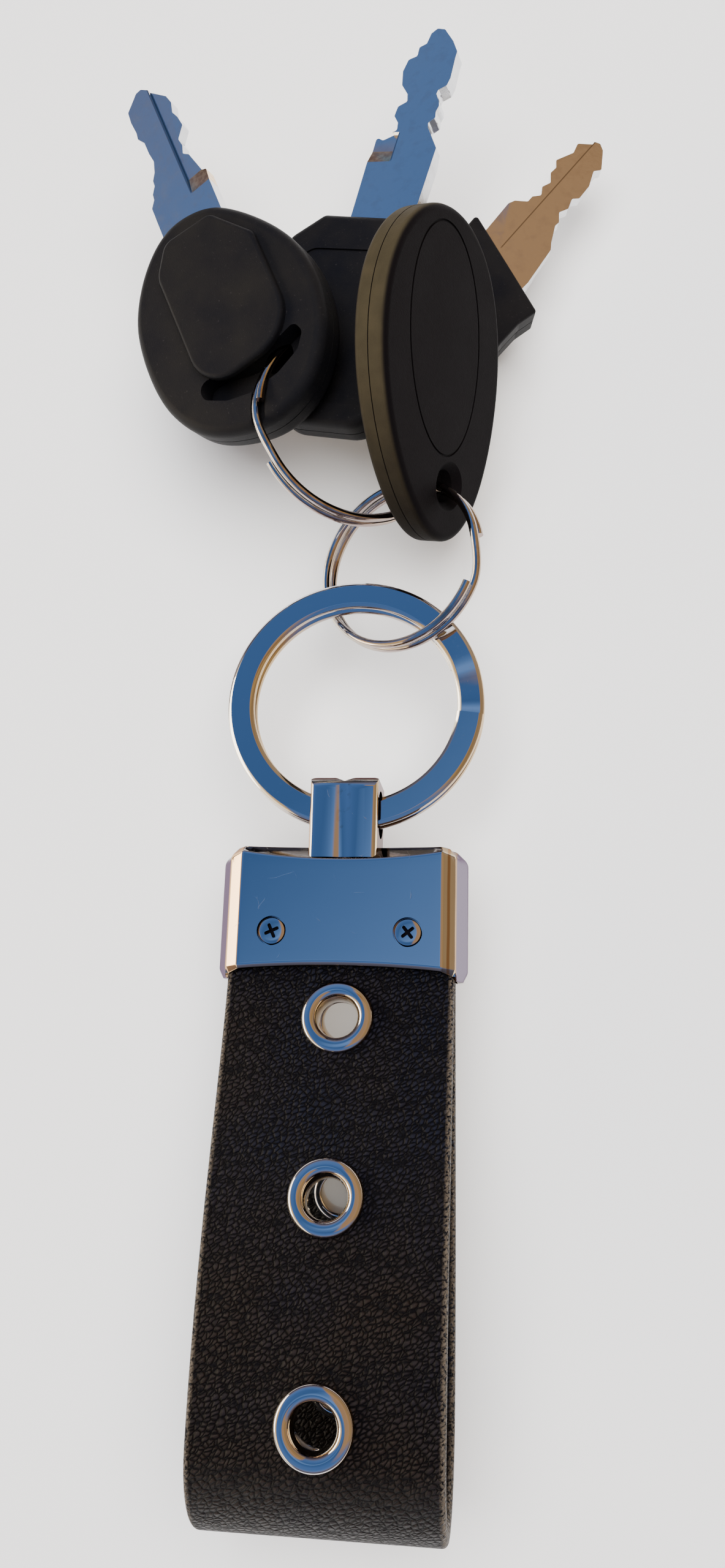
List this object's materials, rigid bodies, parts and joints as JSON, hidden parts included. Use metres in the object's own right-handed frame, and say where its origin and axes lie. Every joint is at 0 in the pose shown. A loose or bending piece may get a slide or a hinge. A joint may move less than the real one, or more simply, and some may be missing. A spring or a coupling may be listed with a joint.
{
  "type": "leather keychain",
  "caption": "Folded leather strap with rolled eyelets in a chrome clamp, a flat split ring, wire split rings, an oval access tag and car keys.",
  "frame": {"origin": "centre of the flat back face of the clamp", "axes": "+X to the right, +Y from the strap towards the keys, +Z out of the front face with the screws"},
  "size_m": [0.0638, 0.1758, 0.0345],
  "materials": {
    "leather": "black pebbled leather with a soft sheen",
    "chrome": "polished chrome",
    "steel": "plain rolled steel",
    "nickel": "milled nickel silver",
    "glass_pill": "smooth dark capsule",
    "winding": "lacquered copper wire",
    "head_plastic": "matte black moulded plastic with a fine grain"
  },
  "bodies": {
    "strap_and_clamp": {"strap": "leather", "clamp_shell": "chrome", "clamp_filler_plate": "steel", "clamp_screw_left": "chrome", "clamp_screw_right": "chrome", "front_eyelet_1": "chrome", "front_eyelet_2": "chrome", "front_eyelet_3": "chrome", "rear_eyelet_1": "chrome", "rear_eyelet_2": "chrome", "rear_eyelet_3": "chrome", "front_washer_2": "chrome", "front_washer_3": "chrome", "rear_washer_2": "chrome", "rear_washer_3": "chrome"},
    "big_ring": {"big_split_ring": "chrome"},
    "link_ring": {"link_split_ring": "chrome"},
    "key_ring": {"key_split_ring": "chrome"},
    "tag": {"tag_front_shell": "head_plastic", "tag_rear_shell": "head_plastic", "tag_coil": "winding", "tag_chip": "head_plastic"},
    "left_key": {"left_key_front_shell": "head_plastic", "left_key_rear_shell": "head_plastic", "left_key_cover": "head_plastic", "left_key_blade": "nickel", "left_key_pill": "glass_pill"},
    "middle_key": {"middle_key_front_shell": "head_plastic", "middle_key_rear_shell": "head_plastic", "middle_key_blade": "nickel", "middle_key_pill": "glass_pill"},
    "right_key": {"right_key_front_shell": "head_plastic", "right_key_rear_shell": "head_plastic", "right_key_blade": "nickel", "right_key_pill": "glass_pill"}
  },
  "joints": [
    {"name": "big_ring_swing", "type": "hinge", "parent": "strap_and_clamp", "child": "big_ring", "pos_m": [0, 0.01155, 0.00375], "axis": [1, 0, 0], "range_deg": [-115, 115]},
    {"name": "link_ring_slide", "type": "hinge", "parent": "big_ring", "child": "link_ring", "pos_m": [0.00055, 0.02485, 0.00375], "axis": [0, 0, 1], "range_deg": [-105, 75]},
    {"name": "tag_swing", "type": "hinge", "parent": "link_ring", "child": "tag", "pos_m": [0.00953, 0.05154, 0.00644], "axis": [-0.8685, 0.2795, -0.4093], "range_deg": [-60, 3]},
    {"name": "key_ring_slide", "type": "hinge", "parent": "link_ring", "child": "key_ring", "pos_m": [0.0056, 0.0422, 0.0046], "axis": [-0.4226, 0, 0.9063], "range_deg": [-0.7, 35]},
    {"name": "left_key_slide", "type": "hinge", "parent": "key_ring", "child": "left_key", "pos_m": [-0.0007, 0.0593, 0.00725], "axis": [0.5299, 0, 0.848], "range_deg": [-4, 20]},
    {"name": "middle_key_slide", "type": "hinge", "parent": "key_ring", "child": "middle_key", "pos_m": [-0.0007, 0.0593, 0.00725], "axis": [0.5299, 0, 0.848], "range_deg": [-2, 4]},
    {"name": "right_key_slide", "type": "hinge", "parent": "key_ring", "child": "right_key", "pos_m": [-0.0007, 0.0593, 0.00725], "axis": [0.5299, 0, 0.848], "range_deg": [-3, 2]}
  ]
}
